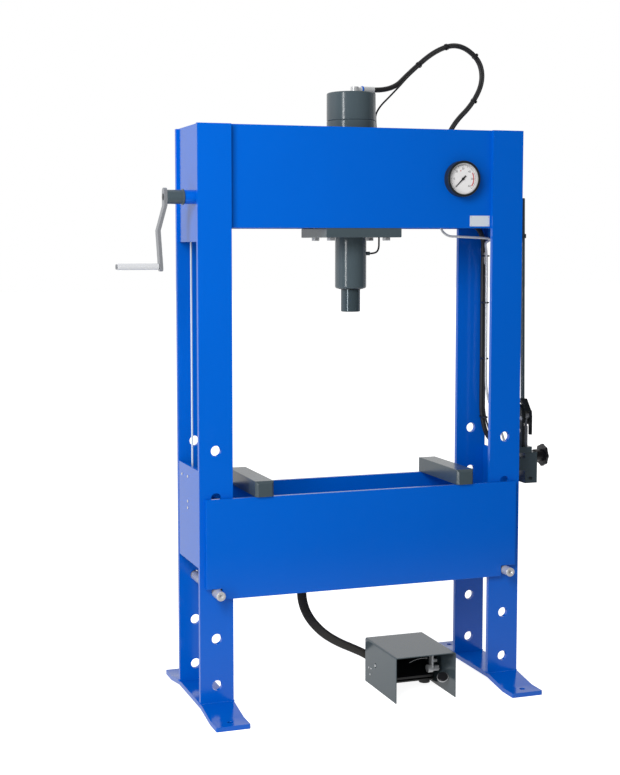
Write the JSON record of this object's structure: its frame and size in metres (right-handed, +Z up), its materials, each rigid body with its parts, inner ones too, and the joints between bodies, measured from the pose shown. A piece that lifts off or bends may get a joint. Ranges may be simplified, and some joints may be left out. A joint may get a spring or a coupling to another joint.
{
  "type": "hydraulic shop press",
  "caption": "Floor-standing two-column hydraulic shop press with sliding cylinder, winch-lifted bed, side hand pump and foot pedal.",
  "frame": {"origin": "on the floor under the ram, at the middle of the four foot bolts", "axes": "+Z up, +Y to the rear, +X to the pump side"},
  "size_m": [1.5298, 0.616, 2.1486],
  "materials": {
    "blue_paint": "satin",
    "slate_paint": "satin",
    "grey_paint": "satin",
    "dark_steel": "satin",
    "zinc_plate": "satin",
    "chrome": "polished",
    "machined_steel": "satin",
    "black_rubber": "matte",
    "braided_sleeve": "matte",
    "black_plastic": "matte",
    "dial_white": "matte",
    "clear_glass": "polished"
  },
  "bodies": {
    "frame": {"column_braces": "blue_paint", "column_hose": "black_rubber", "crank_bearing": "blue_paint", "feet": "blue_paint", "gauge_bezel": "chrome", "gauge_case": "black_plastic", "gauge_dial": "dial_white", "gauge_lens": "clear_glass", "gauge_pipe": "zinc_plate", "head_ends": "blue_paint", "head_plate_front": "blue_paint", "head_plate_rear": "blue_paint", "head_rails": "blue_paint", "legs_left": "blue_paint", "legs_right": "blue_paint", "lever_clip": "black_plastic", "pedal_base": "grey_paint", "pedal_feet": "black_rubber", "pedal_guard": "grey_paint", "pedal_hose": "braided_sleeve", "pedal_valve": "zinc_plate", "pump_block": "slate_paint", "pump_bracket": "slate_paint", "pump_ports": "zinc_plate", "return_hose": "black_rubber", "rope_left": "zinc_plate", "rope_right": "zinc_plate", "winch_gearbox": "blue_paint"},
    "cylinder_carriage": {"cylinder_flange": "slate_paint", "cylinder_barrel": "slate_paint", "cylinder_cap": "slate_paint", "cylinder_nose": "slate_paint", "wiper_seal": "black_rubber", "carriage_clamps": "zinc_plate", "hose_fitting": "zinc_plate", "hose_loop": "black_rubber", "vent_line": "black_rubber"},
    "ram": {"ram": "machined_steel"},
    "bed": {"bed_plate_front": "blue_paint", "bed_plate_rear": "blue_paint", "bed_sills": "blue_paint", "bed_crosses": "blue_paint", "bed_ties": "blue_paint", "rope_cross": "zinc_plate"},
    "pulley_left": {"bed_pulley_left": "machined_steel"},
    "pulley_right": {"bed_pulley_right": "machined_steel"},
    "drum": {"winch_drum": "machined_steel"},
    "crank": {"crank_shaft": "dark_steel", "crank_arm": "dark_steel"},
    "grip": {"crank_grip": "black_plastic"},
    "pin_left": {"bed_pin_left": "machined_steel"},
    "pin_right": {"bed_pin_right": "machined_steel"},
    "block_left": {"press_block_left": "grey_paint"},
    "block_right": {"press_block_right": "grey_paint"},
    "pump_lever": {"lever_bar": "zinc_plate", "lever_rod": "zinc_plate"},
    "pump_plunger": {"pump_piston": "machined_steel"},
    "release_knob": {"release_knob": "black_plastic"},
    "treadle": {"treadle": "dark_steel"},
    "needle": {"gauge_needle": "black_plastic"}
  },
  "joints": [
    {"name": "cylinder_slide", "type": "slide", "parent": "frame", "child": "cylinder_carriage", "axis": [1, 0, 0], "range_m": [-0.12, 0.12]},
    {"name": "ram_stroke", "type": "slide", "parent": "cylinder_carriage", "child": "ram", "axis": [0, 0, -1], "range_m": [0, 0.2], "stiffness_N_per_m": 2000, "springref_m": -0.15},
    {"name": "bed_lift", "type": "slide", "parent": "frame", "child": "bed", "axis": [0, 0, 1], "range_m": [0, 0.45], "deforming": ["rope_left", "rope_right"]},
    {"name": "pulley_left_turn", "type": "hinge", "parent": "bed", "child": "pulley_left", "pos_m": [-0.5075, 0.035, 0.59195], "axis": [0, 1, 0], "range_deg": [0, 960]},
    {"name": "pulley_right_turn", "type": "hinge", "parent": "bed", "child": "pulley_right", "pos_m": [0.5075, 0.035, 0.59195], "axis": [0, 1, 0], "range_deg": [0, 960]},
    {"name": "drum_turn", "type": "hinge", "parent": "frame", "child": "drum", "pos_m": [-0.5075, 0, 1.573], "axis": [0, 1, 0], "range_deg": [0, 1900]},
    {"name": "crank_turn", "type": "hinge", "parent": "frame", "child": "crank", "pos_m": [-0.6, -0.088, 1.628], "axis": [1, 0, 0], "range_deg": [0, 1900]},
    {"name": "grip_spin", "type": "hinge", "parent": "crank", "child": "grip", "pos_m": [-0.74, -0.088, 1.414], "axis": [1, 0, 0], "continuous": true},
    {"name": "pin_left_pull", "type": "slide", "parent": "frame", "child": "pin_left", "axis": [0, -1, 0], "range_m": [0, 0.33]},
    {"name": "pin_right_pull", "type": "slide", "parent": "frame", "child": "pin_right", "axis": [0, -1, 0], "range_m": [0, 0.33]},
    {"name": "block_left_slide", "type": "slide", "parent": "bed", "child": "block_left", "axis": [1, 0, 0], "range_m": [-0.06, 0.25]},
    {"name": "block_right_slide", "type": "slide", "parent": "bed", "child": "block_right", "axis": [1, 0, 0], "range_m": [-0.25, 0.06]},
    {"name": "lever_swing", "type": "hinge", "parent": "frame", "child": "pump_lever", "pos_m": [0.667, 0.025, 0.872], "axis": [1, 0, 0], "range_deg": [0, 50]},
    {"name": "plunger_stroke", "type": "slide", "parent": "frame", "child": "pump_plunger", "axis": [0, 0, 1], "range_m": [-0.033, 0]},
    {"name": "knob_turn", "type": "hinge", "parent": "frame", "child": "release_knob", "pos_m": [0.715, -0.01, 0.748], "axis": [1, 0, 0], "range_deg": [0, 360]},
    {"name": "treadle_press", "type": "hinge", "parent": "frame", "child": "treadle", "pos_m": [0.172, -0.02, 0.07], "axis": [1, 0, 0], "range_deg": [0, 9], "stiffness_Nm_per_rad": 40, "springref_deg": -8.59},
    {"name": "needle_turn", "type": "hinge", "parent": "frame", "child": "needle", "pos_m": [0.339, -0.133, 1.693], "axis": [0, 1, 0], "range_deg": [0, 270], "stiffness_Nm_per_rad": 0.002}
  ],
  "couplings": [
    {"joint": "drum_turn", "follows": "bed_lift", "rad_per_m": 71.942},
    {"joint": "crank_turn", "follows": "bed_lift", "rad_per_m": 71.942},
    {"joint": "pulley_left_turn", "follows": "bed_lift", "rad_per_m": 35.971},
    {"joint": "pulley_right_turn", "follows": "bed_lift", "rad_per_m": 35.971},
    {"joint": "plunger_stroke", "follows": "lever_swing", "m_per_rad": -0.0374}
  ]
}
